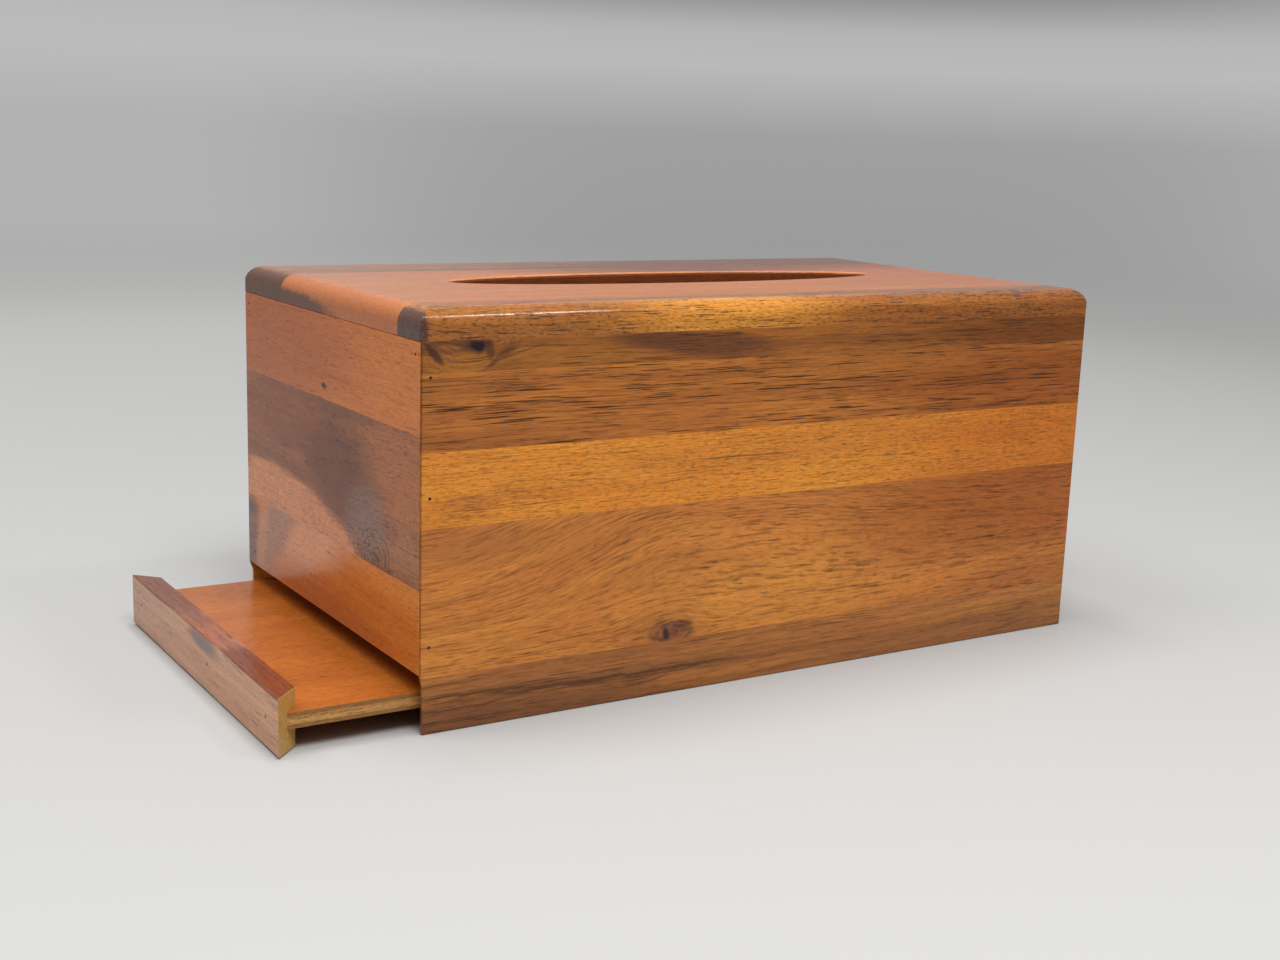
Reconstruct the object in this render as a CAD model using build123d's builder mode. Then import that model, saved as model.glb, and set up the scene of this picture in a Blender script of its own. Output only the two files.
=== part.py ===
# Tissue box cover of edge-glued hardwood, with a thin tray that slides out from under it like a drawer.
#
# Millimetres, +Z up. X runs along the box with the drawer at -X, and the front wall is at -Y.
# The origin is on the floor under the middle of the whole object, with the drawer partly open.

import os
from math import sqrt

from build123d import *

os.makedirs("parts", exist_ok=True)

# ---- Case: four walls, mitred at the corners -------------------------------------------------

box_length = 270.5
box_width = 152.0
wall_height = 120.0
wall_thickness = 8.0
arris_radius = 0.4                # softened upright corners
bottom_edge_radius = 0.6          # softened edge that stands on the floor
right_bottom_edge_radius = 2.2    # the bottom edge away from the drawer is sanded rounder

# The boards of each wall, from the bottom up. They share out the height of their wall.
front_board_widths = (18.0, 46.0, 23.0, 23.5, 9.5)
rear_board_widths = (21.0, 33.0, 27.5, 26.0, 12.5)
left_end_board_widths = (26.2, 46.7, 28.0)
right_end_board_widths = (18.5, 29.0, 38.5, 34.0)

# Below the left end panel the long walls' mitred tips are blunted.
tip_trim = 1.2
tip_trim_slope_height = 3.5

# ---- Lid -------------------------------------------------------------------------------------

lid_thickness = 9.5
lid_roundover = 6.0
lid_front_board_width = 16.4
lid_rear_board_width = 37.0

slot_length = 180.0
slot_width = 39.0
slot_edge_radius = 1.2

# ---- Drawer: a mitred front strip and a plywood tray -----------------------------------------

drawer_opening = 43.7             # how far it stands out at rest
drawer_front_height = 18.0
drawer_front_thickness = wall_thickness
drawer_edge_radius = 0.5
floor_clearance = 0.5             # under the drawer front
panel_clearance = 0.6             # between the drawer front and the end panel above it
mitre_clearance = 0.3             # square to the mitred faces when the drawer is shut

tray_bottom_height = 7.3
face_ply_thickness = 1.3
core_ply_thickness = 2.4
tray_tongue_depth = 3.8           # glued into the groove of the drawer front
groove_depth = 3.7                # of the runner groove in the walls
groove_clearance = 0.3            # around the tray in the runner groove
tray_end_clearance = 0.8          # from the shut tray's tail to the bottom of its groove

# ---- Brads: headless nails, sunk below the face ----------------------------------------------

brad_diameter = 1.0
brad_length = 15.0
brad_sink = 0.4
brad_hole_clearance = 0.05
brads_below_top = (10.7, 46.7)
brad_above_floor = 27.5
long_wall_brad_from_corner = 3.3
end_brad_from_corner = 3.5
upper_end_brad_below_top = 4.1
lower_end_brad_above_floor = 23.8
lower_end_brad_inner_cover = 1.4  # from its middle to the long wall's inner face
drawer_brad_from_end = 11.4
middle_drawer_brad_offset = -9.8  # the middle one was driven off centre, towards the front

# ---- Places worked out from the sizes --------------------------------------------------------

case_left = (drawer_opening - box_length) / 2
case_right = case_left + box_length
case_middle = (case_left + case_right) / 2
front_face = -box_width / 2
rear_face = box_width / 2

drawer_face = case_left - drawer_opening
drawer_back = drawer_face + drawer_front_thickness
drawer_half_width = box_width / 2 - mitre_clearance * sqrt(2)
drawer_front_top = floor_clearance + drawer_front_height
end_panel_bottom = drawer_front_top + panel_clearance

tray_thickness = 2 * face_ply_thickness + core_ply_thickness
tray_top_height = tray_bottom_height + tray_thickness
groove_inset = wall_thickness - groove_depth
tray_left = drawer_back - tray_tongue_depth
tray_right = case_right - groove_inset - tray_end_clearance - drawer_opening
tray_width = box_width - 2 * (groove_inset + groove_clearance)

brad_hole_radius = brad_diameter / 2 + brad_hole_clearance

overcut = 5.0                     # how far a cutting shape runs past what it cuts


def glue_lines(board_widths, bottom, top):
    """Heights of the boards' edges when the boards share the space from bottom to top."""
    scale = (top - bottom) / sum(board_widths)
    heights = [bottom]
    for width in board_widths:
        heights.append(heights[-1] + width * scale)
    return heights


def long_wall_outline(side):
    """Plan of a long wall, mitred at both ends. side is -1 for the front and 1 for the rear."""
    outer = side * box_width / 2
    inner = side * (box_width / 2 - wall_thickness)
    return [
        (case_left, outer),
        (case_right, outer),
        (case_right - wall_thickness, inner),
        (case_left + wall_thickness, inner),
    ]


def end_panel_outline(outer, inward):
    """Plan of an end panel, mitred at both ends. inward is 1 at the left and -1 at the right."""
    inner = outer + inward * wall_thickness
    return [
        (outer, front_face),
        (outer, rear_face),
        (inner, rear_face - wall_thickness),
        (inner, front_face + wall_thickness),
    ]


def corner_brad_places():
    """Where each corner brad enters the face, and the direction in which it is driven.

    The left corners are pinned through both faces, and the right ones through the end panel alone.
    """
    pinned_heights = [wall_height - drop for drop in brads_below_top]
    pinned_heights.append(brad_above_floor)
    upper_height = wall_height - upper_end_brad_below_top
    lower_from_corner = wall_thickness - lower_end_brad_inner_cover
    places = []
    for side in (-1, 1):
        face = side * box_width / 2
        for height in pinned_heights:
            long_wall_point = (case_left + long_wall_brad_from_corner, face, height)
            places.append((long_wall_point, (0, -side, 0)))
            right_end_point = (case_right, face - side * end_brad_from_corner, height)
            places.append((right_end_point, (-1, 0, 0)))
        upper_point = (case_left, face - side * end_brad_from_corner, upper_height)
        places.append((upper_point, (1, 0, 0)))
        lower_point = (case_left, face - side * lower_from_corner, lower_end_brad_above_floor)
        places.append((lower_point, (1, 0, 0)))
    return places


def drawer_brad_places():
    """Three brads through the drawer front, into the middle of the tray's edge."""
    height = tray_bottom_height + tray_thickness / 2
    reach = box_width / 2 - drawer_brad_from_end
    return [((drawer_face, y, height), (1, 0, 0)) for y in (-reach, middle_drawer_brad_offset, reach)]


def plane_along(point, direction, depth=0.0):
    """The plane square to a brad, that deep below the face."""
    origin = Vector(*point) + Vector(*direction) * depth
    return Plane(origin=origin, z_dir=direction)


# ---- Cutting shapes, which aren't pieces -----------------------------------------------------

# The outside of the four walls, with softened edges and the blunted tips below the end panel.
with BuildPart() as case_outside:
    with BuildSketch():
        with Locations((case_middle, 0)):
            RectangleRounded(box_length, box_width, arris_radius)
    extrude(amount=wall_height)
    with BuildSketch(Plane.XZ.offset(front_face - overcut)):
        with BuildLine():
            Polyline(
                (case_left + tip_trim, 0),
                (case_right, 0),
                (case_right, wall_height),
                (case_left, wall_height),
                (case_left, end_panel_bottom),
                (case_left + tip_trim, end_panel_bottom - tip_trim_slope_height),
                close=True,
            )
        make_face()
        bottom_corners = vertices().group_by(Axis.Z)[0].sort_by(Axis.X)
        fillet(bottom_corners[0], bottom_edge_radius)
        fillet(bottom_corners[-1], right_bottom_edge_radius)
    extrude(amount=box_width + 2 * overcut, mode=Mode.INTERSECT)
    with BuildSketch(Plane.YZ.offset(case_left - overcut)):
        with Locations((0, wall_height / 2)):
            Rectangle(box_width, wall_height)
        fillet(vertices().group_by(Axis.Z)[0], bottom_edge_radius)
    extrude(amount=box_length + 2 * overcut, mode=Mode.INTERSECT)

# The groove that the tray runs in: along both long walls, open at the left, and across the right.
with BuildPart() as runner_groove:
    with BuildSketch(Plane.XY.offset(tray_bottom_height - groove_clearance)):
        with Locations((case_left - overcut, 0)):
            Rectangle(
                box_length + overcut - groove_inset,
                box_width - 2 * groove_inset,
                align=(Align.MIN, Align.CENTER),
            )
    extrude(amount=tray_thickness + 2 * groove_clearance)

with BuildPart() as corner_brad_holes:
    for point, direction in corner_brad_places():
        with BuildSketch(plane_along(point, direction)):
            Circle(brad_hole_radius)
        extrude(amount=brad_sink + brad_length)

with BuildPart() as drawer_brad_holes:
    for point, direction in drawer_brad_places():
        with BuildSketch(plane_along(point, direction)):
            Circle(brad_hole_radius)
        extrude(amount=brad_sink + brad_length)

# ---- The boards of the four walls ------------------------------------------------------------

walls = {
    "front_stave": (long_wall_outline(-1), glue_lines(front_board_widths, 0, wall_height)),
    "rear_stave": (long_wall_outline(1), glue_lines(rear_board_widths, 0, wall_height)),
    "left_end_stave": (
        end_panel_outline(case_left, 1),
        glue_lines(left_end_board_widths, end_panel_bottom, wall_height),
    ),
    "right_end_stave": (
        end_panel_outline(case_right, -1),
        glue_lines(right_end_board_widths, 0, wall_height),
    ),
}

for wall_name, (outline, heights) in walls.items():
    for number, (low, high) in enumerate(zip(heights, heights[1:]), start=1):
        with BuildPart() as wall_stave:
            with BuildSketch(Plane.XY.offset(low)):
                with BuildLine():
                    Polyline(*outline, close=True)
                make_face()
            extrude(amount=high - low)
            add(case_outside.part, mode=Mode.INTERSECT)
            add(runner_groove.part, mode=Mode.SUBTRACT)
            add(corner_brad_holes.part, mode=Mode.SUBTRACT)
        wall_stave.part.label = f"{wall_name}_{number}"
        export_step(wall_stave.part, f"parts/{wall_name}_{number}.step")

# ---- The lid: one shaped panel, made of three boards -----------------------------------------

with BuildPart() as lid_panel:
    with BuildSketch(Plane.XY.offset(wall_height)):
        with Locations((case_middle, 0)):
            Rectangle(box_length, box_width)
    extrude(amount=lid_thickness)
    fillet(lid_panel.faces().sort_by(Axis.Z)[-1].edges(), lid_roundover)
    with BuildSketch(Plane.XY.offset(wall_height)):
        with Locations((case_middle, 0)):
            RectangleRounded(box_length, box_width, arris_radius)
    extrude(amount=lid_thickness, mode=Mode.INTERSECT)
    with BuildSketch(Plane.XY.offset(wall_height)):
        with Locations((case_middle, 0)):
            Ellipse(slot_length / 2, slot_width / 2)
    extrude(amount=lid_thickness, mode=Mode.SUBTRACT)
    top_slot_edge = lid_panel.edges().filter_by(GeomType.ELLIPSE).sort_by(Axis.Z)[-1]
    fillet(top_slot_edge, slot_edge_radius)

lid_boards = {
    "lid_front_stave": (front_face, front_face + lid_front_board_width),
    "lid_middle_stave": (front_face + lid_front_board_width, rear_face - lid_rear_board_width),
    "lid_rear_stave": (rear_face - lid_rear_board_width, rear_face),
}

for board_name, (near_edge, far_edge) in lid_boards.items():
    with BuildPart() as lid_stave:
        with BuildSketch(Plane.XY.offset(wall_height)):
            with Locations((case_middle, (near_edge + far_edge) / 2)):
                Rectangle(box_length, far_edge - near_edge)
        extrude(amount=lid_thickness)
        add(lid_panel.part, mode=Mode.INTERSECT)
    lid_stave.part.label = board_name
    export_step(lid_stave.part, f"parts/{board_name}.step")

# ---- The drawer front ------------------------------------------------------------------------

with BuildPart() as drawer_front:
    with BuildSketch(Plane.XY.offset(floor_clearance)):
        with BuildLine():
            Polyline(
                (drawer_face, -drawer_half_width),
                (drawer_face, drawer_half_width),
                (drawer_back, drawer_half_width - drawer_front_thickness),
                (drawer_back, drawer_front_thickness - drawer_half_width),
                close=True,
            )
        make_face()
    extrude(amount=drawer_front_height)
    outer_long_edges = drawer_front.edges().filter_by(Axis.Y).group_by(Axis.X)[0]
    fillet(outer_long_edges, drawer_edge_radius)
    with BuildSketch(Plane.XY.offset(tray_bottom_height)):
        with Locations((tray_left, 0)):
            Rectangle(tray_tongue_depth, box_width, align=(Align.MIN, Align.CENTER))
    extrude(amount=tray_thickness, mode=Mode.SUBTRACT)
    add(drawer_brad_holes.part, mode=Mode.SUBTRACT)

drawer_front.part.label = "drawer_front"
export_step(drawer_front.part, "parts/drawer_front.step")

# ---- The tray, three plies thick -------------------------------------------------------------

plies = {
    "tray_bottom_ply": (tray_bottom_height, face_ply_thickness),
    "tray_core_ply": (tray_bottom_height + face_ply_thickness, core_ply_thickness),
    "tray_top_ply": (tray_top_height - face_ply_thickness, face_ply_thickness),
}

for ply_name, (low, thickness) in plies.items():
    with BuildPart() as ply:
        with BuildSketch(Plane.XY.offset(low)):
            with Locations((tray_left, 0)):
                Rectangle(tray_right - tray_left, tray_width, align=(Align.MIN, Align.CENTER))
        extrude(amount=thickness)
        add(drawer_brad_holes.part, mode=Mode.SUBTRACT)
    ply.part.label = ply_name
    export_step(ply.part, f"parts/{ply_name}.step")

# ---- The brads -------------------------------------------------------------------------------

brad_groups = {
    "corner_brads": corner_brad_places(),
    "drawer_brads": drawer_brad_places(),
}

for group_name, places in brad_groups.items():
    with BuildPart() as brads:
        for point, direction in places:
            with BuildSketch(plane_along(point, direction, brad_sink)):
                Circle(brad_diameter / 2)
            extrude(amount=brad_length)
    brads.part.label = group_name
    export_step(brads.part, f"parts/{group_name}.step")
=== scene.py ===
"""Looks of the wooden tissue box with a slide-out tray: lacquered, edge-glued boards.

Metres, +Z up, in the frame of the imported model. Each board has its own figure, which is described in
millimetres along and across its grain.
"""

from math import pi, radians

import bpy
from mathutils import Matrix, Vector


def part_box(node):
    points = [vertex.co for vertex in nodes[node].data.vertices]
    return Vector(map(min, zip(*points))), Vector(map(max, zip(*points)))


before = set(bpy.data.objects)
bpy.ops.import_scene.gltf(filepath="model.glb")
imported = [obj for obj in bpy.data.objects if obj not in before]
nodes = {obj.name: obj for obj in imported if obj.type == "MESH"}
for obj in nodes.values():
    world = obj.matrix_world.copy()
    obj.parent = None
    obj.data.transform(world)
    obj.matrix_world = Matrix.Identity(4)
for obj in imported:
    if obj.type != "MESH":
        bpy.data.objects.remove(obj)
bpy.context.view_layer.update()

MILLIMETRES = 1000.0              # in a metre

# ---- Where the box is, in millimetres --------------------------------------------------------

# The left end panel's front corner. It lies a tenth of a millimetre behind the front wall's face.
CASE_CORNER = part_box("left_end_stave_3")[0] * MILLIMETRES
CASE_LEFT = CASE_CORNER.x
CASE_FRONT = CASE_CORNER.y
DRAWER_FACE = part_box("drawer_front")[0].x * MILLIMETRES


def add_object(name, data):
    thing = bpy.data.objects.new(name, data)
    bpy.context.scene.collection.objects.link(thing)
    return thing


# ---- Camera ----------------------------------------------------------------------------------

CAMERA_PLACE = (-0.3139, -0.5139, 0.1811)
CAMERA_PITCH = 78.21              # degrees up from straight down
CAMERA_ROLL = -1.865
CAMERA_HEADING = -31.91
CAMERA_LENS = 46.86               # millimetres, on a sensor this wide
CAMERA_SENSOR = 36.0


def make_camera():
    data = bpy.data.cameras.new("camera")
    data.lens = CAMERA_LENS
    data.sensor_width = CAMERA_SENSOR
    camera = add_object("camera", data)
    camera.location = CAMERA_PLACE
    camera.rotation_euler = (radians(CAMERA_PITCH), radians(CAMERA_ROLL), radians(CAMERA_HEADING))
    bpy.context.scene.camera = camera


make_camera()


# ---- Node trees written as calls -------------------------------------------------------------

SEED_DIRECTION = (1.0, 0.37, 0.71)    # the way a seed moves the place where a noise is read
EVERYWHERE = 1e5                      # millimetres, a half depth that reaches through any board


def srgb(red, green, blue):
    """A colour given as it looks on a screen, 0 to 255, as the light it stands for."""
    shares = [value / 255 for value in (red, green, blue)]
    return tuple(s / 12.92 if s < 0.04045 else ((s + 0.055) / 1.055) ** 2.4 for s in shares)


class Graph:
    """A node tree. Each call adds nodes and returns the output socket of the last."""

    def __init__(self, tree):
        self.tree = tree
        tree.nodes.clear()

    def node(self, kind, **settings):
        node = self.tree.nodes.new("ShaderNode" + kind)
        for name, value in settings.items():
            setattr(node, name, value)
        return node

    def put(self, socket, value):
        """Links a socket, or sets a number, a vector or a colour."""
        if isinstance(value, bpy.types.NodeSocket):
            self.tree.links.new(value, socket)
        elif isinstance(value, (int, float)):
            socket.default_value = value
        else:
            value = tuple(value)
            if socket.type == "RGBA" and len(value) == 3:
                value += (1.0,)
            socket.default_value = value

    def math(self, operation, a, b=0.0):
        node = self.node("Math", operation=operation)
        self.put(node.inputs[0], a)
        self.put(node.inputs[1], b)
        return node.outputs[0]

    def add(self, a, b):
        return self.math("ADD", a, b)

    def less(self, a, b):
        return self.math("SUBTRACT", a, b)

    def times(self, a, b):
        return self.math("MULTIPLY", a, b)

    def sway(self, noise, strength):
        """A noise of 0 to 1, turned into one that sways round 0 by half the strength to each side."""
        return self.times(self.less(noise, 0.5), strength)

    def step(self, value, low, high, to_low=0.0, to_high=1.0):
        """A smooth step from to_low at low to to_high at high."""
        node = self.node("MapRange", interpolation_type="SMOOTHSTEP")
        for socket, number in zip(node.inputs, (value, low, high, to_low, to_high)):
            self.put(socket, number)
        return node.outputs[0]

    def vector(self, x, y, z=0.0):
        node = self.node("CombineXYZ")
        for socket, value in zip(node.inputs, (x, y, z)):
            self.put(socket, value)
        return node.outputs[0]

    def split(self, vector):
        node = self.node("SeparateXYZ")
        self.put(node.inputs[0], vector)
        return tuple(node.outputs)

    def mix(self, factor, a, b, blend="MIX"):
        node = self.node("Mix", data_type="RGBA", blend_type=blend)
        self.put(node.inputs["Factor"], factor)
        self.put(node.inputs[6], a)
        self.put(node.inputs[7], b)
        return node.outputs[2]

    def shade(self, colour, tone):
        """The colour, lighter or darker: tone is what it is multiplied by."""
        return self.mix(1.0, colour, self.vector(tone, tone, tone), "MULTIPLY")

    def blend(self, factor, a, b):
        """One shader going over into another."""
        node = self.node("MixShader")
        for socket, value in zip(node.inputs, (factor, a, b)):
            self.put(socket, value)
        return node.outputs[0]

    def object_place(self):
        """Where the point is in the model's frame, in millimetres: x, y and z."""
        scaled = self.node("VectorMath", operation="SCALE")
        self.put(scaled.inputs[0], self.node("TexCoord").outputs["Object"])
        self.put(scaled.inputs["Scale"], MILLIMETRES)
        return self.split(scaled.outputs[0])

    def spread(self, place, size, seed):
        """The place, counted in grains of size = (along, across, deep) millimetres."""
        node = self.node("Mapping")
        self.put(node.inputs["Vector"], place)
        self.put(node.inputs["Location"], [seed * share for share in SEED_DIRECTION])
        self.put(node.inputs["Scale"], [1 / length for length in size])
        return node.outputs[0]

    def field(self, place, size, seed=0.0, detail=2.0, roughness=0.5, distortion=0.0):
        """Noise, 0 to 1 round 0.5."""
        node = self.node("TexNoise")
        self.put(node.inputs["Vector"], self.spread(place, size, seed))
        self.put(node.inputs["Scale"], 1.0)
        self.put(node.inputs["Detail"], detail)
        self.put(node.inputs["Roughness"], roughness)
        self.put(node.inputs["Distortion"], distortion)
        return node.outputs["Fac"]

    def cells(self, place, size, seed):
        """Distance to the nearest of scattered points, one to a cell."""
        node = self.node("TexVoronoi")
        self.put(node.inputs["Vector"], self.spread(place, size, seed))
        self.put(node.inputs["Scale"], 1.0)
        return node.outputs["Distance"]

    def reach(self, place, spot):
        """Distance from an ellipse's middle, 1 on its edge: spot = (u, v, half length, half height, turn)."""
        u, v, half_length, half_height = spot[:4]
        turn = spot[4] if len(spot) > 4 else 0.0
        near = self.node("Mapping", vector_type="TEXTURE")
        self.put(near.inputs["Vector"], place)
        self.put(near.inputs["Location"], (u, v, 0))
        self.put(near.inputs["Rotation"], (0, 0, radians(turn)))
        self.put(near.inputs["Scale"], (half_length, half_height, EVERYWHERE))
        length = self.node("VectorMath", operation="LENGTH")
        self.put(length.inputs[0], near.outputs[0])
        return length.outputs["Value"]


class Material(Graph):
    """A material's node tree."""

    def __init__(self, name):
        self.material = bpy.data.materials.new(name)
        self.material.use_nodes = True
        super().__init__(self.material.node_tree)

    def show(self, shader):
        self.put(self.node("OutputMaterial").inputs["Surface"], shader)

    def surface(self, **inputs):
        shader = self.node("BsdfPrincipled")
        for name, value in inputs.items():
            self.put(shader.inputs[name.replace("_", " ")], value)
        self.show(shader.outputs[0])

    def bump(self, height, distance, strength):
        node = self.node("Bump")
        self.put(node.inputs["Strength"], strength)
        self.put(node.inputs["Distance"], distance)
        self.put(node.inputs["Height"], height)
        return node.outputs[0]


# ---- Boards: u runs along the grain, v across the shown face, w into the wood, in millimetres -----


def wall_place(graph):
    x, y, z = graph.object_place()
    return graph.less(x, CASE_LEFT), z, graph.less(y, CASE_FRONT)


def end_place(graph):
    x, y, z = graph.object_place()
    return graph.less(y, CASE_FRONT), z, graph.less(x, CASE_LEFT)


def lid_place(graph):
    x, y, z = graph.object_place()
    return graph.less(x, CASE_LEFT), graph.less(y, CASE_FRONT), z


def drawer_place(graph):
    x, y, z = graph.object_place()
    return graph.less(y, CASE_FRONT), z, graph.less(x, DRAWER_FACE)


# What a board's look is made of, with the values that it has where a board names none.
PLAIN_LOOK = dict(
    seed=0.0,
    light=(190, 116, 42),         # the colours between which the growth bands run
    dark=(160, 92, 34),
    bands=(130, 7),               # length and width of the growth bands
    band_edge=0.14,               # how softly one runs into the next
    wander=(2.5, 90, 30),         # how far the grain strays, and the length and width over which it does
    streaks=(36, 1.3, 0.30),      # length, width and strength of the fine streaks
    fibre=(7, 0.45, 0.42),        # the same of the fibres
    hairs=(20, 0.62, 0.26),       # the same of the long thin dark lines
    specks=(4, 0.50, 0.22),       # the same of short dark flecks
    pores=(26, 1.0, 0.27, 0.60),  # cell length and width, pore size in its cell, strength
    crowd=(45, 5),                # size of the drifts in which the pores crowd together
    hue=(0.0, (150, 70, 40)),     # strength and colour of broad drifts of another colour
    curl=(0.0, 2.5, 9),           # strength, length and height of the shimmer across the grain
    bends=(),                     # (rise, from u, to u, from v, to v): where all lines climb or fall
    swells=(),                    # (u, v, half length, half height, turn, push): lines go round these
    blots=(),                     # (spot, colour, strength, softness, ragged)
    rings=(),                     # (spot, colour, how many, strength): broken dark rings round an eye
    knots=(),                     # (spot, core colour, halo colour)
    lines=(),                     # (u from, u to, v, slope, thickness, strength, waviness)
    end_blots=(),                 # (spot in v and w, colour, strength, softness) on the face where u is 0
    gloss=(1.31, 0.16),           # the lacquer's refractive index and roughness
    corner=None,                  # u where a thin shadow is painted along the case's front left mitre
    edges=None,                   # (near v, far v, colour): cut edges that show the veneer's side
    ends=None,                    # (near end, far end, colour): sawn mitres at 45 degrees, in u
)

# What each field adds to the board's seed, so that no two fields of a board are alike.
SEEDS = dict(
    wander=0.0, bands=3.1, drifts=5.3, ragged=6.7, streaks=7.9, fibre=11.3, curl=13.7, specks=15.5,
    hairs=16.1, lines=17.1, pores=19.3, crowd=23.9, ring_rims=29.1, ring_gaps=31.7, knot_rims=37.3,
    sawn=41.9,
)

# Fields that are the same on every board: length and width in millimetres.
DRIFT_SIZE = (80, 11)
RAGGED_SIZE = (22, 3.0)
LINE_WAVE_SIZE = (11, 40)
RING_RIM_SIZE = (6, 4)
RING_GAP_SIZE = (5, 2.5)
KNOT_RIM_SIZE = (2.5, 2)
SAWN_SIZE = (0.5, 0.5)

# Where on a field, or at what distance, a mark begins and where it is full.
DRIFT_STEP = (0.42, 0.62)
SPECK_STEP = (0.54, 0.68)
HAIR_STEP = (0.52, 0.66)
CROWD_STEP = (0.36, 0.62)
PORE_STEP = (1.1, 0.75)
RING_STEP = (0.1, 1.0)
RING_GAP_STEP = (0.34, 0.60)
RING_EDGE = (1.2, 0.8)
HALO_STEP = (1.7, 0.7)
CORE_STEP = (1.0, 0.55)
# The painted shadow along the front left mitre.
PAINTED_CORNER_SHADOW_STEP = (0.25, 0.9)
CUT_STEP = (0.35, 0.10)
SAWN_STEP = (0.3, 0.7)
END_FACE = (3.0, 1.5)             # u at which an end blot fades out, and where it is whole

END_RAGGEDNESS = 0.5
RING_RAGGEDNESS = 0.5
KNOT_RAGGEDNESS = 1.1
PORE_RAGGEDNESS = 0.35
CURL_DISTORTION = 0.6
MARKS_SHARE = 0.25                # of the strength of specks and hairs, by which the rest is lightened
LINE_FADE = 0.25                  # of its length, over which a line fades in and out
CROWD_SIZES = (0.45, 1.3)         # how small and how large the pores get, as shares of their size
RING_GAPS = 0.15                  # how much of a ring is left where it is broken
HALO_STRENGTH = 0.75
CORE_STRENGTH = 0.95
# How dark the painted shadow along the front left mitre is.
PAINTED_CORNER_SHADOW_TONE = 0.45
SAWN_TONES = (0.75, 1.2)
PORE_ROUGHNESS = 0.38
FIBRE_RELIEF = 0.5                # of the pores' depth
GRAIN_DEPTH = 0.00006             # metres that the pores dip under the lacquer
GRAIN_STRENGTH = 0.6


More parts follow.
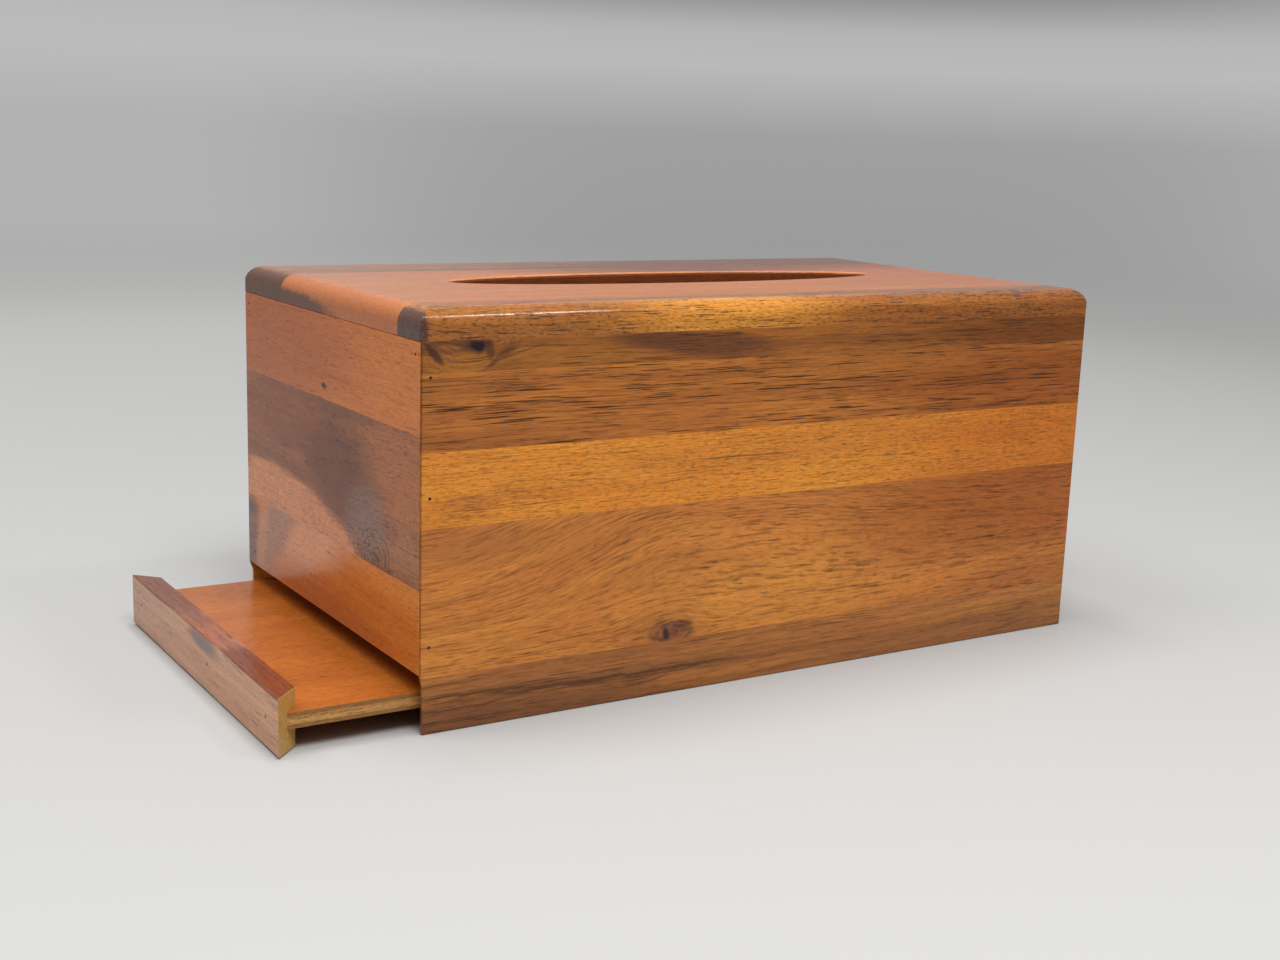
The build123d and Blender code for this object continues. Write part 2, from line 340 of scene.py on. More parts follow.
class Board(Material):
    """A lacquered board. Its methods lay one kind of mark each over the colour so far."""

    def __init__(self, name, place, **look):
        super().__init__(name)
        self.look = {**PLAIN_LOOK, **look}
        self.u, self.v, self.w = place(self)
        self.flat = self.vector(self.u, self.v, self.w)
        self.grain = self.vector(self.u, self.grain_run(), self.w)
        self.fibre = self.noise("fibre", self.grain, self.look["fibre"][:2], detail=3.0, roughness=0.7)
        self.colour = self.growth_bands()
        self.lay_hue()
        self.lay_blots()
        self.tone = self.fine_grain()
        self.lay_lines()
        self.pore = self.lay_pores()
        self.lay_rings()
        self.lay_knots()
        self.lay_cuts()
        self.lacquer()

    def noise(self, kind, place, size, shift=0.0, **options):
        """A field of the board's own, as deep as it is wide."""
        length, width = size
        seed = self.look["seed"] + SEEDS[kind] + shift
        return self.field(place, (length, width, width), seed, **options)

    def paint(self, factor, colour):
        self.colour = self.mix(factor, self.colour, colour)

    def darken(self, tone):
        self.colour = self.shade(self.colour, tone)

    def grain_run(self):
        """The height across the grain, v, bent so that it stays the same along a line of grain."""
        stray, *size = self.look["wander"]
        wander = self.noise("wander", self.flat, size, detail=1.0)
        run = self.add(self.v, self.sway(wander, 2 * stray))
        for rise, u_from, u_to, v_from, v_to in self.look["bends"]:
            climb = self.times(self.step(self.u, u_from, u_to), self.step(self.v, v_from, v_to))
            run = self.less(run, self.times(climb, rise))
        for spot in self.look["swells"]:
            middle, push = spot[1], spot[5]
            pull = self.times(self.step(self.reach(self.flat, spot), 1.0, 0.0), push)
            run = self.less(run, self.times(pull, self.less(self.v, middle)))
        return run

    def growth_bands(self):
        bands = self.noise("bands", self.grain, self.look["bands"], detail=3.0, roughness=0.55)
        edge = self.look["band_edge"]
        lightness = self.step(bands, 0.5 - edge, 0.5 + edge)
        return self.mix(lightness, srgb(*self.look["dark"]), srgb(*self.look["light"]))

    def lay_hue(self):
        strength, colour = self.look["hue"]
        if strength:
            drifts = self.step(self.noise("drifts", self.grain, DRIFT_SIZE), *DRIFT_STEP)
            self.paint(self.times(drifts, strength), srgb(*colour))

    def lay_blots(self):
        ragged = self.noise("ragged", self.grain, RAGGED_SIZE, detail=3.0, roughness=0.6)
        for spot, colour, strength, softness, raggedness in self.look["blots"]:
            away = self.reach(self.flat, spot)
            if raggedness:
                away = self.add(away, self.sway(ragged, raggedness))
            inside = self.step(away, 1.0 + softness / 2, 1.0 - softness / 2)
            self.paint(self.times(inside, strength), srgb(*colour))
        for spot, colour, strength, softness in self.look["end_blots"]:
            away = self.reach(self.vector(self.v, self.w), spot)
            away = self.add(away, self.sway(ragged, END_RAGGEDNESS))
            inside = self.step(away, 1.0 + softness / 2, 1.0 - softness / 2, 0.0, strength)
            self.paint(self.times(inside, self.step(self.u, *END_FACE)), srgb(*colour))

    def fine_grain(self):
        """Streaks, fibres and shimmer, lighter and darker, and dark specks and hairs."""
        *size, strength = self.look["streaks"]
        streaks = self.noise("streaks", self.grain, size, detail=4.0, roughness=0.68)
        tone = self.sway(streaks, 2 * strength)
        tone = self.add(tone, self.sway(self.fibre, 2 * self.look["fibre"][2]))
        strength, *size = self.look["curl"]
        if strength:
            curl = self.noise("curl", self.flat, size, distortion=CURL_DISTORTION)
            tone = self.add(tone, self.sway(curl, 2 * strength))
        *size, speck_strength = self.look["specks"]
        specks = self.noise("specks", self.grain, size, detail=1.0)
        tone = self.less(tone, self.times(self.step(specks, *SPECK_STEP), speck_strength))
        *size, hair_strength = self.look["hairs"]
        hairs = self.noise("hairs", self.grain, size, detail=2.0, roughness=0.6)
        tone = self.less(tone, self.times(self.step(hairs, *HAIR_STEP), hair_strength))
        self.darken(self.add(tone, 1.0 + MARKS_SHARE * (speck_strength + hair_strength)))
        return tone

    def lay_lines(self):
        for u_from, u_to, height, slope, thickness, strength, waviness in self.look["lines"]:
            middle = self.add(height, self.times(self.less(self.u, u_from), slope))
            wave = self.noise("lines", self.flat, LINE_WAVE_SIZE, height, detail=4.0, roughness=0.6)
            off = self.math("ABSOLUTE", self.add(self.less(self.v, middle), self.sway(wave, waviness)))
            fade = (u_to - u_from) * LINE_FADE
            begin = self.step(self.u, u_from, u_from + fade)
            end = self.step(self.u, u_to, u_to - fade)
            mark = self.times(self.times(self.step(off, thickness, 0.0), self.times(begin, end)), strength)
            self.darken(self.less(1.0, mark))

    def lay_pores(self):
        length, width, size, strength = self.look["pores"]
        crowd = self.noise("crowd", self.grain, self.look["crowd"], detail=3.0)
        size = self.step(crowd, *CROWD_STEP, *(share * size for share in CROWD_SIZES))
        away = self.cells(self.grain, (length, width, width), self.look["seed"] + SEEDS["pores"])
        away = self.add(away, self.sway(self.fibre, PORE_RAGGEDNESS))
        pore = self.step(self.math("DIVIDE", away, size), *PORE_STEP)
        self.darken(self.less(1.0, self.times(pore, strength)))
        return pore

    def lay_rings(self):
        for spot, colour, count, strength in self.look["rings"]:
            rim = self.noise("ring_rims", self.flat, RING_RIM_SIZE, spot[0], detail=3.0, roughness=0.6)
            away = self.add(self.reach(self.flat, spot), self.sway(rim, RING_RAGGEDNESS))
            wave = self.step(self.math("SINE", self.times(away, 2 * pi * count)), *RING_STEP)
            gaps = self.noise("ring_gaps", self.flat, RING_GAP_SIZE, detail=3.0)
            whole = self.step(gaps, *RING_GAP_STEP, RING_GAPS, 1.0)
            near = self.step(away, *RING_EDGE, 0.0, strength)
            self.paint(self.times(self.times(wave, whole), near), srgb(*colour))

    def lay_knots(self):
        for spot, core_colour, halo_colour in self.look["knots"]:
            rim = self.noise("knot_rims", self.flat, KNOT_RIM_SIZE, spot[0], detail=3.0, roughness=0.7)
            away = self.add(self.reach(self.flat, spot), self.sway(rim, KNOT_RAGGEDNESS))
            self.paint(self.step(away, *HALO_STEP, 0.0, HALO_STRENGTH), srgb(*halo_colour))
            self.paint(self.step(away, *CORE_STEP, 0.0, CORE_STRENGTH), srgb(*core_colour))

    def lay_cuts(self):
        """A painted shadow at a mitre, a veneer's cut edges and sawn mitres."""
        if self.look["corner"] is not None:
            # Paints a thin shadow along the case's front left mitre.
            past = self.less(self.u, self.look["corner"])
            self.darken(self.step(past, *PAINTED_CORNER_SHADOW_STEP, PAINTED_CORNER_SHADOW_TONE, 1.0))
        if self.look["edges"]:
            near, far, colour = self.look["edges"]
            depth = self.math("MINIMUM", self.less(self.v, near), self.less(far, self.v))
            veneer = self.shade(self.vector(*srgb(*colour)), self.add(self.tone, 1.0))
            self.paint(self.step(depth, *CUT_STEP), veneer)
        if self.look["ends"]:
            near, far, colour = self.look["ends"]
            from_near = self.less(self.less(self.u, self.w), near)
            to_far = self.less(far, self.add(self.u, self.w))
            depth = self.math("MINIMUM", from_near, to_far)
            dots = self.noise("sawn", self.flat, SAWN_SIZE, detail=2.0)
            sawn = self.shade(self.vector(*srgb(*colour)), self.step(dots, *SAWN_STEP, *SAWN_TONES))
            self.paint(self.step(depth, *CUT_STEP), sawn)

    def lacquer(self):
        index, roughness = self.look["gloss"]
        relief = self.less(self.sway(self.fibre, FIBRE_RELIEF), self.pore)
        self.surface(
            Base_Color=self.colour,
            Roughness=self.step(self.pore, 0.0, 1.0, roughness, PORE_ROUGHNESS),
            IOR=index,
            Normal=self.bump(relief, GRAIN_DEPTH, GRAIN_STRENGTH),
        )


# The tissue slot, in the lid's u and v. Its wall and its rounded lip are painted as ellipses: the wall
# darker, as painted shade, and the lip lighter, as a painted highlight.
LID_LOW, LID_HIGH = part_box("lid_middle_stave")
SLOT_MIDDLE = ((LID_HIGH.x - LID_LOW.x) * MILLIMETRES / 2, -CASE_FRONT)
SLOT_SHADED_WALL = (*SLOT_MIDDLE, 90.3, 19.8)
SLOT_HIGHLIGHT_LIP = (*SLOT_MIDDLE, 91.2, 20.7)

FRONT_BOARDS = (
    dict(  # bottom: brown, with a dark wavy vein low on the left and a redder, darker foot
        seed=1.0, light=(184, 118, 57), dark=(150, 94, 47), bands=(170, 4.5), wander=(1.6, 80, 20),
        streaks=(40, 1.3, 0.36), hairs=(30, 0.6, 0.24), pores=(26, 0.8, 0.24, 0.45),
        hue=(0.30, (174, 104, 60)),
        blots=(
            ((22, 3, 66, 6.0), (112, 70, 46), 0.75, 0.9, 1.2),
            ((58, 10, 66, 2.6, -2), (118, 78, 50), 0.45, 1.0, 1.6),
            ((225, 2, 80, 6.0), (144, 92, 56), 0.75, 1.0, 1.0),
        ),
        lines=((-8, 46, 11.4, -0.02, 1.3, 0.50, 3.6), (8, 130, 9.6, -0.012, 1.1, 0.52, 3.0),
               (20, 120, 8.0, -0.010, 0.5, 0.40, 2.6), (70, 92, 4.0, 0.12, 0.6, 0.45, 2.4),
               (-8, 34, 7.2, 0.0, 0.8, 0.45, 3.0), (-6, 26, 14.6, 0.02, 0.6, 0.40, 2.4),
               (60, 200, 12.6, -0.006, 0.6, 0.25, 2.0)),
    ),
    dict(  # second: golden, its lines climbing over a knot near the bottom edge
        seed=2.0, light=(202, 127, 54), dark=(180, 111, 48), bands=(120, 7), band_edge=0.16,
        wander=(1.6, 120, 30), streaks=(26, 1.0, 0.30), fibre=(5, 0.46, 0.50), hairs=(16, 0.60, 0.38),
        pores=(12, 0.75, 0.22, 0.38), curl=(0.05, 1.6, 6), hue=(0.25, (176, 94, 46)),
        bends=((20, 0, 96, 14, 62), (-7, 110, 280, 18, 62)),
        swells=((89, 21, 26, 13, 0, 0.6),),
        blots=(
            ((128, 30, 50, 11), (206, 135, 56), 0.6, 1.3, 0.6),
            ((12, 58, 30, 7), (154, 92, 46), 0.6, 1.2, 1.0),
            ((250, 54, 80, 18), (150, 77, 24), 0.80, 1.3, 0.6),
            ((265, 24, 46, 12), (160, 90, 40), 0.45, 1.2, 0.6),
            ((92, 38, 16, 8), (170, 104, 46), 0.45, 1.2, 0.8),
            ((89, 21, 13, 7), (154, 94, 48), 0.5, 1.2, 0.8),
            ((90.5, 21, 8.4, 4.0), (132, 80, 50), 0.60, 0.5, 0.7),
        ),
        rings=(((91.5, 20.6, 8.2, 4.4), (92, 54, 42), 1.6, 0.75),),
        knots=(((88.3, 20.2, 1.5, 2.5, 15), (58, 40, 44), (110, 66, 46)),
               ((93.5, 22.6, 3.2, 1.0, -10), (104, 62, 46), (134, 84, 52))),
    ),
    dict(  # third: the palest, bright gold with fine short pores
        seed=3.0, light=(216, 138, 46), dark=(196, 121, 43), bands=(110, 6), band_edge=0.18,
        wander=(1.2, 120, 30), streaks=(28, 0.9, 0.28), fibre=(3.5, 0.48, 0.62), specks=(2.6, 0.55, 0.34),
        hairs=(14, 0.5, 0.28), pores=(10, 0.75, 0.20, 0.40), hue=(0.25, (196, 106, 36)), curl=(0.05, 1.2, 2),
        blots=(
            ((18, 71, 9, 2.2), (160, 92, 46), 0.5, 1.2, 1.0),
            ((16, 80, 34, 9), (194, 118, 44), 0.4, 1.2, 0.6),
            ((179, 74, 3, 1.2), (150, 100, 60), 0.6, 1.0, 0.6),
            ((262, 76, 76, 16), (188, 102, 26), 0.75, 1.3, 0.4),
        ),
        lines=((92, 142, 78.0, -0.005, 0.35, 0.50, 0.8), (150, 196, 74.5, -0.03, 0.5, 0.30, 1.4),
               (4, 60, 68.5, 0.01, 0.4, 0.35, 1.2), (20, 90, 83.0, -0.01, 0.4, 0.30, 1.2)),
    ),
    dict(  # fourth: orange brown, full of long dark pores
        seed=4.0, light=(182, 111, 44), dark=(157, 93, 39), bands=(150, 5.5), band_edge=0.16,
        wander=(1.4, 90, 24), streaks=(44, 1.0, 0.42), hairs=(24, 0.55, 0.52), specks=(5, 0.5, 0.32),
        pores=(28, 0.75, 0.28, 0.82), crowd=(60, 7), hue=(0.22, (156, 84, 38)),
        blots=(
            ((10, 106, 40, 5), (138, 84, 38), 0.45, 1.2, 1.0),
            ((40, 89.0, 60, 2.2), (146, 82, 38), 0.5, 1.2, 1.2),
            ((14, 93, 24, 5), (144, 83, 38), 0.4, 1.2, 0.8),
            ((192, 105, 84, 9), (144, 86, 36), 0.60, 1.2, 0.8),
            ((252, 96, 70, 13), (134, 68, 20), 0.75, 1.2, 1.0),
        ),
        lines=((0, 34, 100.5, -0.02, 0.35, 0.65, 1.0), (28, 78, 100.6, 0.004, 0.35, 0.65, 1.2),
               (0, 20, 107.8, 0.01, 0.30, 0.60, 0.8), (16, 44, 104.0, 0.01, 0.32, 0.60, 1.0),
               (40, 62, 107.5, 0.02, 0.32, 0.55, 1.0), (20, 36, 106.8, -0.02, 0.60, 0.40, 1.6),
               (60, 110, 103.2, 0.006, 0.30, 0.55, 1.2), (90, 150, 106.4, 0.0, 0.30, 0.50, 1.4),
               (150, 186, 101.5, -0.06, 0.40, 0.60, 1.0), (110, 125, 106.5, -0.1, 0.40, 0.60, 0.6),
               (196, 224, 97.2, -0.005, 0.45, 0.60, 0.8), (228, 252, 97.5, 0.0, 0.40, 0.45, 0.8),
               (8, 60, 97.0, 0.0, 0.30, 0.50, 1.2), (86, 100, 103.5, -0.08, 0.35, 0.60, 0.6)),
    ),
    dict(  # top: golden brown with a knot cut by the top edge, then a dark spindle
        seed=5.0, light=(157, 96, 38), dark=(134, 80, 35), bands=(90, 4), wander=(1.0, 60, 15),
        streaks=(28, 0.9, 0.38), pores=(24, 0.8, 0.26, 0.55), hue=(0.20, (138, 76, 38)),
        swells=((15, 121, 26, 13, 0, 0.9),),
        blots=(
            ((96, 115.8, 32, 4.3, -5), (96, 56, 34), 0.85, 0.8, 0.9),
            ((13, 112, 11, 3.4), (166, 106, 42), 0.60, 1.0, 0.8),
            ((12, 118.6, 11, 2.4), (92, 54, 34), 0.75, 0.7, 1.1),
            ((4.2, 116.4, 4.6, 1.1, -48), (62, 36, 30), 0.85, 0.9, 0.9),
            ((22.6, 116.8, 1.3, 3.0, 8), (62, 36, 30), 0.80, 0.9, 0.7),
            ((26.5, 114.9, 6.8, 1.1, 34), (70, 42, 32), 0.80, 0.9, 0.9),
            ((36, 118.4, 12, 0.9, 4), (104, 64, 36), 0.60, 1.0, 1.0),
            ((9.5, 117.9, 3.4, 0.9, -8), (150, 96, 48), 0.60, 0.8, 0.7),
            ((46, 114, 22, 5), (158, 98, 38), 0.55, 1.2, 0.8),
            ((246, 115, 52, 7), (108, 56, 18), 0.75, 1.2, 0.8),
        ),
        rings=(((14, 121, 17, 12.5), (84, 48, 32), 7.0, 0.42),),
        lines=((24, 44, 113.4, 0.26, 0.5, 0.40, 1.4), (30, 62, 117.6, -0.02, 0.4, 0.45, 1.0)),
        knots=(((18.5, 118.1, 3.3, 1.7, -6), (28, 17, 20), (62, 36, 30)),),
    ),
)

LEFT_BOARDS = (
    dict(  # bottom: orange at the front, mauve grey at the back, where a reflection of the bright surroundings is painted
        seed=11.0, light=(218, 130, 50), dark=(198, 113, 43), bands=(120, 7), band_edge=0.16,
        streaks=(30, 1.2, 0.20), fibre=(3, 0.45, 0.34), hairs=(14, 0.6, 0.14), pores=(10, 0.9, 0.18, 0.28),
        hue=(0.2, (188, 100, 50)),
        blots=(
            ((10, 42, 36, 7), (234, 148, 76), 0.55, 1.2, 0.4),
            ((88, 41, 36, 9, -20), (236, 170, 128), 0.7, 1.2, 0.6),
            ((80, 22, 40, 6), (160, 80, 38), 0.5, 1.2, 0.6),
            # The mauve greys at the back are a painted reflection of the bright surroundings.
            ((126, 36, 46, 9, -38), (174, 132, 110), 0.85, 0.9, 1.0),
            ((150, 30, 11, 18), (132, 98, 88), 0.85, 0.9, 1.0),
            ((137, 31, 5, 14, 16), (212, 148, 108), 0.8, 1.0, 1.0),
            ((147, 41, 5, 3), (100, 72, 68), 0.7, 1.0, 1.0),
        ),
    ),
    dict(  # middle: grey brown, darkest in its middle, a painted reflection in salmon low at the back, with a swirl near the front
        seed=12.0, light=(168, 102, 54), dark=(137, 80, 46), bands=(90, 6), band_edge=0.16,
        streaks=(26, 1.2, 0.24), fibre=(2.4, 0.45, 0.52), specks=(1.6, 0.5, 0.26), pores=(8, 0.9, 0.20, 0.35),
        curl=(0.18, 1.6, 4), swells=((32, 45, 20, 14, 0, 0.6),),
        blots=(
            ((14, 76, 26, 20), (178, 104, 54), 0.75, 1.2, 0.8),
            ((64, 72, 30, 17, 14), (108, 54, 30), 0.85, 1.1, 0.9),
            ((120, 82, 40, 12), (136, 72, 40), 0.7, 1.2, 0.9),
            ((40, 56, 15, 12), (142, 112, 98), 0.75, 1.1, 0.9),
            ((8, 50, 14, 12), (168, 116, 76), 0.6, 1.1, 0.9),
            # Salmon low at the back, with a sharp slanting edge: a painted reflection.
            ((99, 43.0, 64, 16.4, 7), (218, 144, 96), 0.95, 0.30, 0.4),
        ),
        rings=(((34, 46.5, 15, 12), (84, 58, 50), 5.0, 0.80),),
    ),
    dict(  # top: salmon orange, smooth at the back, with a pin knot
        seed=13.0, light=(215, 122, 50), dark=(197, 108, 44), bands=(110, 6), band_edge=0.16,
        streaks=(34, 1.0, 0.20), fibre=(3.0, 0.40, 0.46), hairs=(12, 0.5, 0.22), pores=(10, 0.8, 0.18, 0.36),
        curl=(0.06, 1.2, 2.0),
        blots=(((144, 108, 80, 30), (176, 91, 40), 0.8, 1.3, 0.4),
               ((16, 108, 30, 16), (216, 126, 44), 0.6, 1.2, 0.6)),
        knots=(((75, 96.4, 1.9, 1.0), (36, 24, 24), (104, 60, 40)),),
    ),
)

LID_BOARDS = dict(
    lid_front_stave=dict(  # golden with dark pores, browner to the right
        seed=21.0, light=(190, 123, 42), dark=(150, 92, 33), bands=(100, 4.5), wander=(1.5, 80, 20),
        streaks=(26, 0.9, 0.42), fibre=(2.4, 0.50, 0.84), specks=(1.8, 0.50, 0.52),
        pores=(14, 0.7, 0.27, 0.70), hue=(0.3, (150, 78, 40)), gloss=(1.38, 0.12),
        blots=(
            ((80, 11, 70, 5), (164, 92, 48), 0.5, 1.0, 0.6),
            ((236, 4, 74, 24), (130, 72, 28), 0.75, 1.2, 0.8),
            ((108, 0, 34, 9), (204, 136, 52), 0.6, 1.2, 0.8),
            ((26, 0, 46, 5.4), (142, 86, 38), 0.82, 0.9, 0.8),
            ((30, 11, 40, 6), (176, 100, 56), 0.6, 0.8, 0.8),
            ((206, 12.5, 52, 3.4), (168, 96, 50), 0.6, 0.9, 0.8),
            ((-1, 8, 3.6, 40), (78, 52, 46), 0.92, 0.5, 0.3),
            ((237, 4, 3.0, 2.4, 60), (84, 62, 58), 0.7, 0.8, 1.0),
        ),
    ),
    lid_middle_stave=dict(  # salmon orange, its left end dark at the rear, the slot's wall painted dark reddish brown as shade, its lip painted lighter as a highlight
        seed=22.0, light=(206, 122, 56), dark=(191, 108, 50), bands=(140, 9), band_edge=0.18,
        streaks=(50, 1.4, 0.20), fibre=(4, 0.45, 0.36), hairs=(20, 0.6, 0.2), pores=(12, 0.9, 0.20, 0.30),
        hue=(0.2, (192, 118, 62)),
        blots=(
            ((8, 58, 44, 50), (188, 116, 70), 0.65, 1.3, 0.3),
            ((20, 106, 56, 12), (174, 102, 66), 0.6, 1.2, 0.5),
            ((205, 108, 110, 15), (116, 50, 26), 0.88, 0.9, 0.8),
            ((260, 60, 70, 60), (178, 94, 50), 0.6, 1.3, 0.6),
            ((-1, 60, 5.0, 70), (186, 108, 58), 0.9, 0.6, 0.4),
            # The slot's rounded lip: a painted highlight.
            (SLOT_HIGHLIGHT_LIP, (204, 134, 80), 0.75, 0.01, 0.0),
            # The slot's wall: painted shade.
            (SLOT_SHADED_WALL, (120, 62, 33), 1.0, 0.004, 0.0),
        ),
        end_blots=(((106, 119.2, 38, 5.6), (86, 56, 42), 0.88, 0.45),),
    ),
    lid_rear_stave=dict(  # dark grey brown
        seed=23.0, light=(156, 102, 64), dark=(126, 80, 54), bands=(120, 8), band_edge=0.16,
        streaks=(40, 1.3, 0.26), pores=(14, 1.0, 0.22, 0.40), hue=(0.25, (114, 76, 58)),
        blots=(
            ((50, 140, 80, 12), (162, 106, 68), 0.6, 1.2, 0.8),
            ((230, 130, 120, 30), (112, 56, 32), 0.85, 1.2, 0.6),
            ((-1, 134, 4.5, 60), (88, 54, 38), 0.92, 0.5, 0.6),
        ),
    ),
)

DRAWER_BOARD = dict(  # pinkish tan outside and reddish brown on top; its sawn mitres are pale
    seed=31.0, light=(218, 159, 115), dark=(194, 135, 96), bands=(110, 5), band_edge=0.16,
    streaks=(36, 1.1, 0.26), fibre=(4, 0.45, 0.36), pores=(14, 0.9, 0.20, 0.35),
    hue=(0.2, (166, 100, 66)),
    blots=(
        ((69, 15.8, 15, 2.6), (98, 84, 84), 0.80, 0.9, 0.9),
        ((40, 8.0, 30, 3.0), (212, 142, 92), 0.5, 1.2, 0.8),
        ((136, 8.0, 34, 12), (182, 128, 96), 0.5, 1.2, 0.6),
        ((14, 19.3, 58, 1.5), (108, 46, 26), 0.92, 0.5, 0.5),
        ((74, 19.3, 18, 1.5), (158, 88, 58), 0.90, 0.6, 0.5),
        ((124, 19.3, 46, 1.5), (112, 62, 44), 0.92, 0.6, 0.5),
        ((8, 19.3, 20, 1.5), (130, 64, 36), 0.50, 0.9, 1.0),
    ),
    lines=((28, 52, 16.6, 0.05, 0.7, 0.45, 1.0),),
)
SAWN_MITRE = (190, 144, 78)

TRAY_FACE = dict(  # smooth orange plywood, with its cut edges in another colour
    seed=41.0, light=(180, 102, 39), dark=(166, 91, 34), bands=(60, 10), band_edge=0.25, wander=(3, 60, 40),
    streaks=(20, 2.0, 0.14), fibre=(2.0, 0.6, 0.40), hairs=(4, 0.8, 0.18), pores=(5, 1.1, 0.18, 0.30),
    gloss=(1.34, 0.26),
)
TRAY_EDGE = (150, 102, 54)
TRAY_CORE = dict(  # pale and streaky, seen on its cut edges only
    seed=43.0, light=(190, 142, 82), dark=(164, 116, 62), bands=(70, 1.2), band_edge=0.2,
    wander=(0.4, 60, 20), streaks=(20, 0.5, 0.34), fibre=(2.2, 0.4, 0.36), specks=(1.4, 0.5, 0.34),
    pores=(8, 0.8, 0.18, 0.3),
)

# For the rear wall and the right end, in the manner of the front.
HIDDEN_LOOKS = (
    dict(light=(176, 106, 40), dark=(148, 84, 32), bands=(140, 6)),
    dict(light=(196, 120, 42), dark=(172, 98, 36), bands=(120, 7), pores=(12, 0.9, 0.2, 0.4),
         curl=(0.06, 1.6, 5)),
    dict(light=(134, 82, 42), dark=(100, 62, 38), bands=(100, 6), hue=(0.3, (120, 72, 50))),
    dict(light=(204, 128, 42), dark=(184, 108, 36), bands=(110, 6), pores=(12, 0.9, 0.2, 0.4)),
    dict(light=(160, 92, 38), dark=(132, 74, 32), bands=(150, 5), hue=(0.3, (146, 76, 34))),
)

REAR_SEED, REAR_FIRST_LOOK = 51.0, 1
RIGHT_SEED, RIGHT_FIRST_LOOK = 61.0, 3
LEFT_END_GLOSS = (1.28, 0.18)
PAINTED_MITRE_SHADOW_U = 0.1                # u of the painted shadow in the front left mitre

STEEL_GRAIN = (0.3, 0.3, 0.3)
STEEL_DARK, STEEL_LIGHT = (0.03, 0.028, 0.027), (0.10, 0.095, 0.09)
STEEL_STEP, STEEL_ROUGHNESS = (0.3, 0.7), (0.35, 0.6)
STEEL_METALLIC = 0.8


def dress(node_name, look):
    """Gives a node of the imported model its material."""
    slots = nodes[node_name].data.materials
    slots.clear()
    slots.append(look.material)


def across(node_name):
    """From where to where a node reaches across the box, in millimetres from the front wall's face."""
    return [corner.y * MILLIMETRES - CASE_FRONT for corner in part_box(node_name)]


def dress_hidden(wall, place, seed, first_look):
    """Boards that don't show in the main view take the hidden looks in turn."""
    names = sorted(name for name in nodes if name.startswith(wall))
    for count, name in enumerate(names):
        look = HIDDEN_LOOKS[(first_look + count) % len(HIDDEN_LOOKS)]
        dress(name, Board(name, place, seed=seed + count, **look))


def dress_boards():
    for count, look in enumerate(FRONT_BOARDS, 1):
        name = f"front_stave_{count}"
        dress(name, Board(name, wall_place, corner=PAINTED_MITRE_SHADOW_U, **look))
    for count, look in enumerate(LEFT_BOARDS, 1):
        name = f"left_end_stave_{count}"
        dress(name, Board(name, end_place, gloss=LEFT_END_GLOSS, **look))
    for name, look in LID_BOARDS.items():
        dress(name, Board(name, lid_place, **look))
    dress_hidden("rear_stave_", wall_place, REAR_SEED, REAR_FIRST_LOOK)
    dress_hidden("right_end_stave_", end_place, RIGHT_SEED, RIGHT_FIRST_LOOK)
    mitres = (*across("drawer_front"), SAWN_MITRE)
    dress("drawer_front", Board("drawer_front", drawer_place, ends=mitres, **DRAWER_BOARD))


def dress_tray():
    for name in ("tray_bottom_ply", "tray_top_ply"):
        dress(name, Board(name, lid_place, edges=(*across(name), TRAY_EDGE), **TRAY_FACE))
    dress("tray_core_ply", Board("tray_core_ply", lid_place, **TRAY_CORE))


def dress_brads():
    steel = Material("brad_steel")
    spots = steel.field(steel.vector(*steel.object_place()), STEEL_GRAIN)
    steel.surface(
        Base_Color=steel.mix(spots, STEEL_DARK, STEEL_LIGHT),
        Metallic=STEEL_METALLIC,
        Roughness=steel.step(spots, *STEEL_STEP, *STEEL_ROUGHNESS),
    )
    for name in ("corner_brads", "drawer_brads"):
        dress(name, steel)


dress_boards()
dress_tray()
dress_brads()


# ---- Floor -----------------------------------------------------------------------------------

FLOOR_NEAR, FLOOR_FAR = 0.50, 0.71        # how pale the paper is at the box and away from it
FLOOR_PALER = (150.0, 1100.0)             # millimetres from the middle, over which that changes
FLOOR_RIGHT = 0.82                        # how much darker it gets far to the right
FLOOR_DARKER = (250.0, 1100.0)            # millimetres to the right, over which that changes
FLOOR_BLUE = 0.985                        # of its red and green
FLOOR_FADE = (900.0, 2600.0)              # millimetres over which it passes into the backdrop
FLOOR_SPARE = 0.2                         # metres of floor beyond that


def floor_material():
    floor = Material("floor_paper")
    x, y, _ = floor.object_place()
    away = floor.math("SQRT", floor.add(floor.times(x, x), floor.times(y, y)))
    pale = floor.step(away, *FLOOR_PALER, FLOOR_NEAR, FLOOR_FAR)
    pale = floor.times(pale, floor.step(x, *FLOOR_DARKER, 1.0, FLOOR_RIGHT))
    paper = floor.node("BsdfDiffuse")
    floor.put(paper.inputs["Color"], floor.vector(pale, pale, floor.times(pale, FLOOR_BLUE)))
    clear = floor.node("BsdfTransparent")
    floor.show(floor.blend(floor.step(away, *FLOOR_FADE), paper.outputs[0], clear.outputs[0]))
    return floor.material


def make_floor():
    reach = FLOOR_FADE[1] / MILLIMETRES + FLOOR_SPARE
    mesh = bpy.data.meshes.new("floor")
    corners = [(-reach, -reach, 0), (reach, -reach, 0), (reach, reach, 0), (-reach, reach, 0)]
    mesh.from_pydata(corners, [], [(0, 1, 2, 3)])
    mesh.materials.append(floor_material())
    add_object("floor", mesh)


# ---- Backdrop and light ----------------------------------------------------------------------

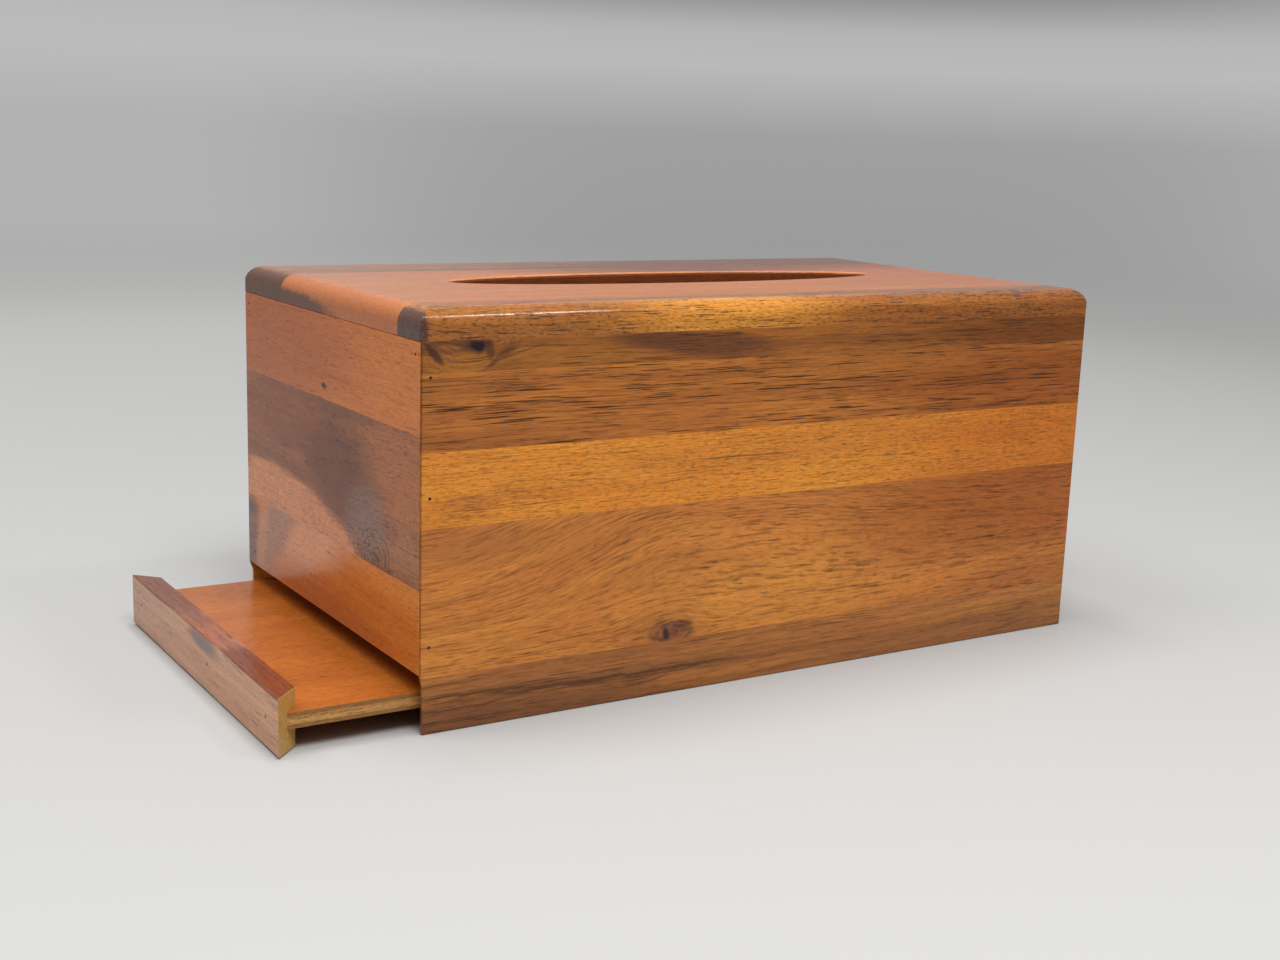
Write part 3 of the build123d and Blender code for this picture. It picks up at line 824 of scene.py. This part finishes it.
# The backdrop's grey by height, as the sine of the angle above the horizon: off to the sides, and
# straight behind the box, where it is darker.
BACKDROP_SIDES = (
    (-0.20, 0.48), (-0.06, 0.44), (0.0, 0.44), (0.04, 0.50), (0.06, 0.48), (0.09, 0.42),
    (0.22, 0.42), (0.5, 0.6), (1.0, 0.8),
)
BACKDROP_MIDDLE = (
    (-0.20, 0.42), (-0.06, 0.33), (0.0, 0.35), (0.04, 0.49), (0.06, 0.46), (0.09, 0.19),
    (0.22, 0.17), (0.5, 0.6), (1.0, 0.8),
)
BACKDROP_DIRECTION = (0.62, 0.785, 0.0)   # towards its darkest part
BACKDROP_SPREAD = (0.93, 1.0)             # cosines between which it darkens

AMBIENT_LOW, AMBIENT_HIGH = 0.10, 0.80    # light from near the horizon, and from above
AMBIENT_RISE = (0.40, 0.85)               # sines of the angles between which one turns into the other


def backdrop_greys(graph, up, profile):
    """The grey at a height, from a profile of heights and greys."""
    low, high = profile[0][0], profile[-1][0]
    height = graph.node("MapRange")
    graph.put(height.inputs["Value"], up)
    graph.put(height.inputs["From Min"], low)
    graph.put(height.inputs["From Max"], high)
    ramp = graph.node("ValToRGB")
    graph.put(ramp.inputs[0], height.outputs[0])
    stops = ramp.color_ramp.elements
    while len(stops) < len(profile):
        stops.new(0.5)
    for stop, (level, grey) in zip(stops, profile):
        stop.position = (level - low) / (high - low)
        stop.color = (grey, grey, grey, 1)
    return ramp.outputs[0]


def make_world():
    """The backdrop that the camera and reflections see, and a soft light from above for all the rest."""
    world = bpy.data.worlds.new("studio")
    bpy.context.scene.world = world
    world.use_nodes = True
    graph = Graph(world.node_tree)
    direction = graph.node("TexCoord").outputs["Generated"]
    up = graph.split(direction)[2]

    facing = graph.node("VectorMath", operation="DOT_PRODUCT")
    graph.put(facing.inputs[0], direction)
    graph.put(facing.inputs[1], BACKDROP_DIRECTION)
    middle = graph.step(facing.outputs["Value"], *BACKDROP_SPREAD)
    sides_grey = backdrop_greys(graph, up, BACKDROP_SIDES)
    middle_grey = backdrop_greys(graph, up, BACKDROP_MIDDLE)
    backdrop = graph.node("Background")
    graph.put(backdrop.inputs["Color"], graph.mix(middle, sides_grey, middle_grey))

    ambient = graph.node("Background")
    graph.put(ambient.inputs["Color"], (1.0, 1.0, 1.0))
    graph.put(ambient.inputs["Strength"], graph.step(up, *AMBIENT_RISE, AMBIENT_LOW, AMBIENT_HIGH))

    rays = graph.node("LightPath").outputs
    seen = graph.math("MAXIMUM", rays["Is Camera Ray"], rays["Is Glossy Ray"])
    seen = graph.math("MAXIMUM", seen, rays["Is Transmission Ray"])
    result = graph.blend(seen, ambient.outputs[0], backdrop.outputs[0])
    graph.put(graph.node("OutputWorld").inputs["Surface"], result)


def softbox(name, place, aim, size, power):
    """A rectangular lamp, aimed at a point: metres and watts."""
    data = bpy.data.lights.new(name, "AREA")
    data.shape = "RECTANGLE"
    data.size, data.size_y = size
    data.energy = power
    lamp = add_object(name, data)
    lamp.location = place
    lamp.rotation_euler = (Vector(aim) - Vector(place)).to_track_quat("-Z", "Y").to_euler()


make_floor()
make_world()
softbox("front_softbox", (-0.17, -0.56, 0.86), aim=(0.0, 0.0, 0.06), size=(0.45, 0.4), power=5.4)
softbox("high_left_softbox", (-0.60, 0.12, 1.0), aim=(-0.08, 0.0, 0.06), size=(0.45, 0.45), power=2.5)
softbox("overhead_softbox", (-0.03, 0.05, 1.0), aim=(-0.03, 0.0, 0.12), size=(0.22, 0.4), power=2.7)
# This one gives the bright line along the lid's front edge.
softbox("strip_light", (0.39, -0.474, 0.917), aim=(-0.07, -0.07, 0.12), size=(0.17, 0.06), power=1.1)

bpy.context.scene.view_settings.view_transform = "Standard"
